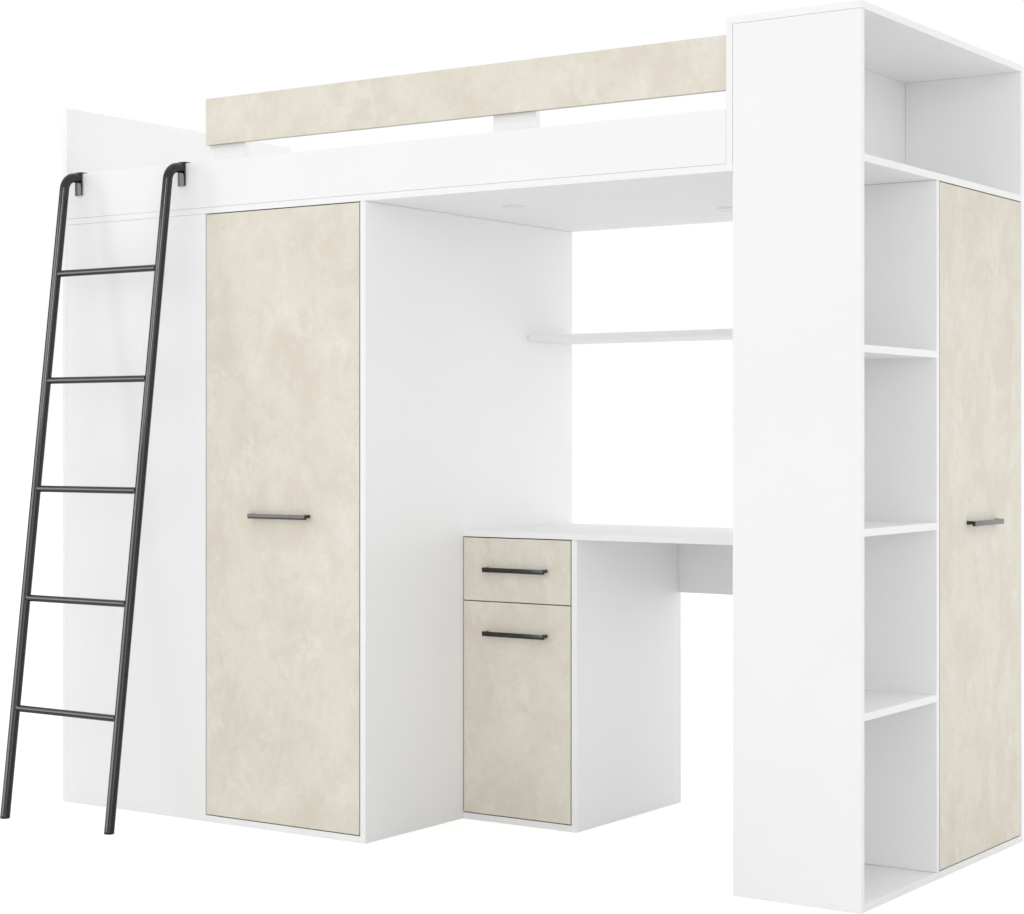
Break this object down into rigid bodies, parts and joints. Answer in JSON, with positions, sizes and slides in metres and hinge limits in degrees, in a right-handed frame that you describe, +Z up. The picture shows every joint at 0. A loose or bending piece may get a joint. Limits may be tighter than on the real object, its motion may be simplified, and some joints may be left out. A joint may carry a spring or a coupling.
{
  "type": "loft bed with desk",
  "caption": "High sleeper in white and stone-effect board with a wardrobe, a desk with a drawer, a shelf tower and a hook-on ladder.",
  "frame": {"origin": "on the floor, at the centre of the bounding box, ladder and handles included", "axes": "+X along the bed from the wardrobe end to the tower, +Y to the back, +Z up"},
  "size_m": [2.362, 1.2436, 1.908],
  "materials": {
    "white_melamine": "white melamine-faced board, fine satin texture",
    "stone_decor": "melamine-faced board with a beige stone decor, matt",
    "thin_board": "thin white lacquered fibreboard",
    "plated_steel": "nickel or zinc plated steel",
    "black_handle": "matt black lacquer, fine texture",
    "black_tube": "satin black powder coat",
    "black_plastic": "black moulded plastic",
    "light_body": "white moulded plastic",
    "light_lens": "frosted diffuser, switched off"
  },
  "bodies": {
    "carcass": {"left_end_panel": "white_melamine", "bed_base_board": "white_melamine", "front_rail": "white_melamine", "back_rail": "white_melamine", "headboard_panel": "white_melamine", "guard_board": "stone_decor", "guard_posts": "white_melamine", "base_battens": "white_melamine", "wardrobe_bottom": "white_melamine", "wardrobe_side": "white_melamine", "wardrobe_fixed_front": "white_melamine", "wardrobe_stile": "white_melamine", "wardrobe_back": "thin_board", "hat_shelf": "white_melamine", "clothes_rail": "plated_steel", "clothes_rail_sockets": "plated_steel", "desk_top": "white_melamine", "desk_side": "white_melamine", "desk_bottom": "white_melamine", "desk_back": "thin_board", "desk_stretcher": "white_melamine", "desk_shelf": "white_melamine", "modesty_panel": "white_melamine", "wall_shelf": "white_melamine", "tower_front_panel": "white_melamine", "tower_back_panel": "white_melamine", "tower_top": "white_melamine", "tower_bottom": "white_melamine", "tower_middle_shelf": "white_melamine", "tower_partition": "white_melamine", "tower_inner_wall": "white_melamine", "bookcase_shelves": "white_melamine", "cupboard_shelves": "white_melamine", "runner_channels": "plated_steel", "shelf_pins": "plated_steel", "cam_locks": "plated_steel", "cam_bolts": "plated_steel", "hinge_arms": "plated_steel", "light_bodies": "light_body", "light_lenses": "light_lens"},
    "wardrobe_door": {"wardrobe_door": "stone_decor", "wardrobe_door_handle": "black_handle", "wardrobe_door_fittings": "plated_steel"},
    "desk_door": {"desk_door": "stone_decor", "desk_door_handle": "black_handle", "desk_door_fittings": "plated_steel"},
    "tower_door": {"tower_door": "stone_decor", "tower_door_handle": "black_handle", "tower_door_fittings": "plated_steel"},
    "drawer": {"drawer_front": "stone_decor", "drawer_handle": "black_handle", "drawer_sides": "white_melamine", "drawer_back": "white_melamine", "drawer_bottom": "thin_board", "drawer_fittings": "plated_steel"},
    "ladder": {"ladder_rails": "black_tube", "ladder_rungs": "black_tube", "ladder_hooks": "black_tube", "ladder_feet": "black_plastic"}
  },
  "joints": [
    {"name": "wardrobe_door_hinge", "type": "hinge", "parent": "carcass", "child": "wardrobe_door", "pos_m": [-0.1595, -0.33822, 0.7945], "axis": [0, 0, 1], "range_deg": [0, 105]},
    {"name": "desk_door_hinge", "type": "hinge", "parent": "carcass", "child": "desk_door", "pos_m": [0.1885, 0.08178, 0.293], "axis": [0, 0, 1], "range_deg": [0, 105]},
    {"name": "tower_door_hinge", "type": "hinge", "parent": "carcass", "child": "tower_door", "pos_m": [1.161, 0.60328, 0.7945], "axis": [0, 0, 1], "range_deg": [0, 105]},
    {"name": "drawer_slide", "type": "slide", "parent": "carcass", "child": "drawer", "axis": [0, -1, 0], "range_m": [0, 0.3]},
    {"name": "ladder_lift", "type": "slide", "parent": "carcass", "child": "ladder", "axis": [0, 0, 1], "range_m": [0, 0.1]}
  ]
}
